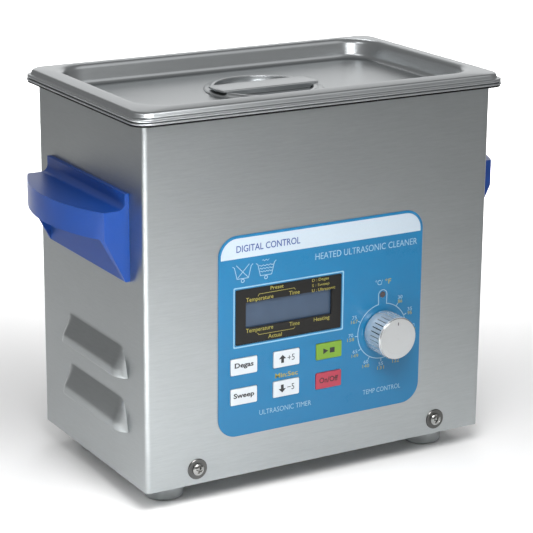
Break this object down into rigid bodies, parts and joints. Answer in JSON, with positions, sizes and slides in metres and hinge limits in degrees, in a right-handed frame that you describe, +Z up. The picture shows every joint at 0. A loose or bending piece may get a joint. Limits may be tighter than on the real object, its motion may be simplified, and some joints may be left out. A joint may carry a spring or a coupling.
{
  "type": "ultrasonic cleaner",
  "caption": "Bench-top heated ultrasonic cleaner: brushed steel housing with a drawn tank, lift-off tray lid, blue side handles, keypad, display and temperature knob.",
  "frame": {"origin": "middle of the object's footprint, on the bench under the feet", "axes": "+X to the right across the width, from handle to handle; +Y from the front panel to the back; +Z up"},
  "size_m": [0.312, 0.1774, 0.2566],
  "materials": {
    "housing_steel": "horizontally brushed",
    "panel_steel": "satin",
    "tank_steel": "drawn, satin",
    "lid_steel": "drawn, satin",
    "gasket_rubber": "matte",
    "foot_rubber": "matte",
    "handle_plastic": "semi-gloss moulded",
    "overlay_film": "satin printed film",
    "window_film": "dark tinted",
    "display_glass": "clear over grey-blue",
    "bezel_metal": "black",
    "circuit_board": "green solder mask",
    "power_board": "bare laminate",
    "fastener_steel": "bright",
    "led_lens": "tinted",
    "black_plastic": "moulded",
    "knob_metal": "turned",
    "thermostat_metal": "plated",
    "copper": "bare copper",
    "electrode_brass": "bare",
    "front_mass_aluminium": "turned",
    "back_mass_steel": "turned steel",
    "ceramic": "unglazed ceramic",
    "heat_sink_black": "black anodised",
    "ferrite": "ferrite and winding",
    "capacitor_sleeve": "sleeved",
    "heater_foil": "silicone rubber",
    "pin_metal": "nickel plated",
    "wire_sleeve": "insulated",
    "key_white": "satin printed film",
    "key_green": "satin printed film",
    "key_red": "satin printed film"
  },
  "bodies": {
    "cleaner": {"housing_shell": "housing_steel", "rear_panel": "panel_steel", "base_pan": "panel_steel", "tank": "tank_steel", "rim_gasket": "gasket_rubber", "left_handle": "handle_plastic", "right_handle": "handle_plastic", "handle_screws": "fastener_steel", "feet": "foot_rubber", "foot_screws": "fastener_steel", "front_screws": "fastener_steel", "front_washers": "fastener_steel", "rear_screws": "fastener_steel", "panel_overlay": "overlay_film", "display_window": "window_film", "lcd_glass": "display_glass", "lcd_bezel": "bezel_metal", "lcd_board": "circuit_board", "status_led": "led_lens", "control_board": "circuit_board", "board_standoffs": "fastener_steel", "tact_switches": "black_plastic", "thermostat_body": "thermostat_metal", "thermostat_nut": "fastener_steel", "thermostat_capillary": "copper", "generator_board": "power_board", "generator_standoffs": "fastener_steel", "heat_sink": "heat_sink_black", "power_transistors": "black_plastic", "transformer": "ferrite", "filter_capacitors": "capacitor_sleeve", "transducer_front_masses": "front_mass_aluminium", "piezo_rings": "ceramic", "transducer_electrodes": "electrode_brass", "transducer_back_masses": "back_mass_steel", "transducer_bolts": "back_mass_steel", "heater_pads": "heater_foil", "thermal_cutout": "ceramic", "fan_frame": "black_plastic", "fan_screws": "fastener_steel", "mains_inlet": "black_plastic", "inlet_pins": "pin_metal", "inlet_screws": "fastener_steel", "wiring_harness": "wire_sleeve"},
    "lid": {"lid": "lid_steel", "lid_grip_dish": "lid_steel", "lid_grip_bar": "lid_steel"},
    "knob": {"knob_shell": "knob_metal", "knob_insert": "knob_metal", "thermostat_shaft": "fastener_steel"},
    "fan": {"fan_rotor": "black_plastic"},
    "fuse_tray": {"fuse_drawer": "black_plastic"},
    "degas_key": {"key_degas": "key_white"},
    "sweep_key": {"key_sweep": "key_white"},
    "time_up_key": {"key_time_up": "key_white"},
    "time_down_key": {"key_time_down": "key_white"},
    "start_stop_key": {"key_start_stop": "key_green"},
    "heater_key": {"key_heater": "key_red"}
  },
  "joints": [
    {"name": "lid_lift", "type": "slide", "parent": "cleaner", "child": "lid", "axis": [0, 0, 1], "range_m": [0, 0.12]},
    {"name": "knob_turn", "type": "hinge", "parent": "cleaner", "child": "knob", "pos_m": [0.0454, -0.0793, 0.094], "axis": [0, 1, 0], "range_deg": [0, 297]},
    {"name": "fan_spin", "type": "hinge", "parent": "cleaner", "child": "fan", "pos_m": [-0.055, 0.0657, 0.083], "axis": [0, 1, 0], "continuous": true},
    {"name": "fuse_drawer_pull", "type": "slide", "parent": "cleaner", "child": "fuse_tray", "axis": [0, 1, 0], "range_m": [0, 0.022]},
    {"name": "degas_key_press", "type": "slide", "parent": "cleaner", "child": "degas_key", "axis": [0, 1, 0], "range_m": [0, 0.0005], "stiffness_N_per_m": 2000},
    {"name": "sweep_key_press", "type": "slide", "parent": "cleaner", "child": "sweep_key", "axis": [0, 1, 0], "range_m": [0, 0.0005], "stiffness_N_per_m": 2000},
    {"name": "time_up_key_press", "type": "slide", "parent": "cleaner", "child": "time_up_key", "axis": [0, 1, 0], "range_m": [0, 0.0005], "stiffness_N_per_m": 2000},
    {"name": "time_down_key_press", "type": "slide", "parent": "cleaner", "child": "time_down_key", "axis": [0, 1, 0], "range_m": [0, 0.0005], "stiffness_N_per_m": 2000},
    {"name": "start_stop_key_press", "type": "slide", "parent": "cleaner", "child": "start_stop_key", "axis": [0, 1, 0], "range_m": [0, 0.0005], "stiffness_N_per_m": 2000},
    {"name": "heater_key_press", "type": "slide", "parent": "cleaner", "child": "heater_key", "axis": [0, 1, 0], "range_m": [0, 0.0005], "stiffness_N_per_m": 2000}
  ]
}
